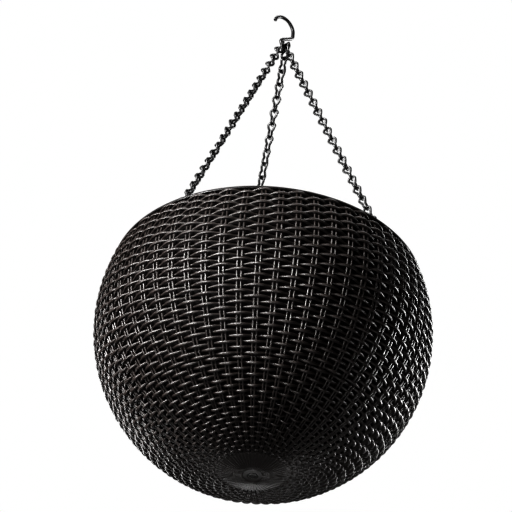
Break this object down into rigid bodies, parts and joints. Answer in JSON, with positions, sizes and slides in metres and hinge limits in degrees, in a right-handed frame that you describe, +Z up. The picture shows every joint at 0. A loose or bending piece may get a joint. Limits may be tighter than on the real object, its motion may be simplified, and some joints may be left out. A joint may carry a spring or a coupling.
{
  "type": "hanging basket",
  "caption": "Ball-shaped woven-look plastic hanging planter on three jack chains and a wire hook, with a lift-out liner and a drain plug.",
  "frame": {"origin": "the hang point: the inside of the hook's bend, where the support bears, on the basket's axis", "axes": "+Z up along the basket's axis, +Y away from the viewer, towards the back chain, +X to the viewer's right; the plane of the hook is turned 40 degrees from +X towards +Y"},
  "size_m": [0.3472, 0.3472, 0.6147],
  "materials": {
    "woven_plastic": "semi-gloss moulded weave, very dark brown",
    "smooth_plastic": "smooth semi-gloss, very dark brown",
    "liner_plastic": "matte black",
    "chain_steel": "black coated steel wire, semi-gloss"
  },
  "bodies": {
    "hook": {"hook": "chain_steel"},
    "basket": {"rim_flange": "smooth_plastic", "upper_shell": "woven_plastic", "lower_bowl": "woven_plastic", "rim_ring_left": "chain_steel", "rim_ring_back": "chain_steel", "rim_ring_right": "chain_steel", "chain_left_01": "chain_steel", "chain_left_02": "chain_steel", "chain_left_03": "chain_steel", "chain_left_04": "chain_steel", "chain_left_05": "chain_steel", "chain_left_06": "chain_steel", "chain_left_07": "chain_steel", "chain_left_08": "chain_steel", "chain_left_09": "chain_steel", "chain_left_10": "chain_steel", "chain_left_11": "chain_steel", "chain_left_12": "chain_steel", "chain_back_01": "chain_steel", "chain_back_02": "chain_steel", "chain_back_03": "chain_steel", "chain_back_04": "chain_steel", "chain_back_05": "chain_steel", "chain_back_06": "chain_steel", "chain_back_07": "chain_steel", "chain_back_08": "chain_steel", "chain_back_09": "chain_steel", "chain_back_10": "chain_steel", "chain_back_11": "chain_steel", "chain_back_12": "chain_steel", "chain_right_01": "chain_steel", "chain_right_02": "chain_steel", "chain_right_03": "chain_steel", "chain_right_04": "chain_steel", "chain_right_05": "chain_steel", "chain_right_06": "chain_steel", "chain_right_07": "chain_steel", "chain_right_08": "chain_steel", "chain_right_09": "chain_steel", "chain_right_10": "chain_steel", "chain_right_11": "chain_steel", "chain_right_12": "chain_steel"},
    "liner": {"liner": "liner_plastic"},
    "drain_plug": {"drain_plug": "smooth_plastic"}
  },
  "joints": [
    {"name": "basket_swing", "type": "hinge", "parent": "hook", "child": "basket", "pos_m": [0, 0, -0.0401], "axis": [0.766, 0.6428, 0], "range_deg": [-20, 20]},
    {"name": "liner_lift", "type": "slide", "parent": "basket", "child": "liner", "axis": [0, 0, 1], "range_m": [0, 0.022]},
    {"name": "drain_plug_pull", "type": "slide", "parent": "basket", "child": "drain_plug", "axis": [0, 0, -1], "range_m": [0, 0.013]}
  ]
}
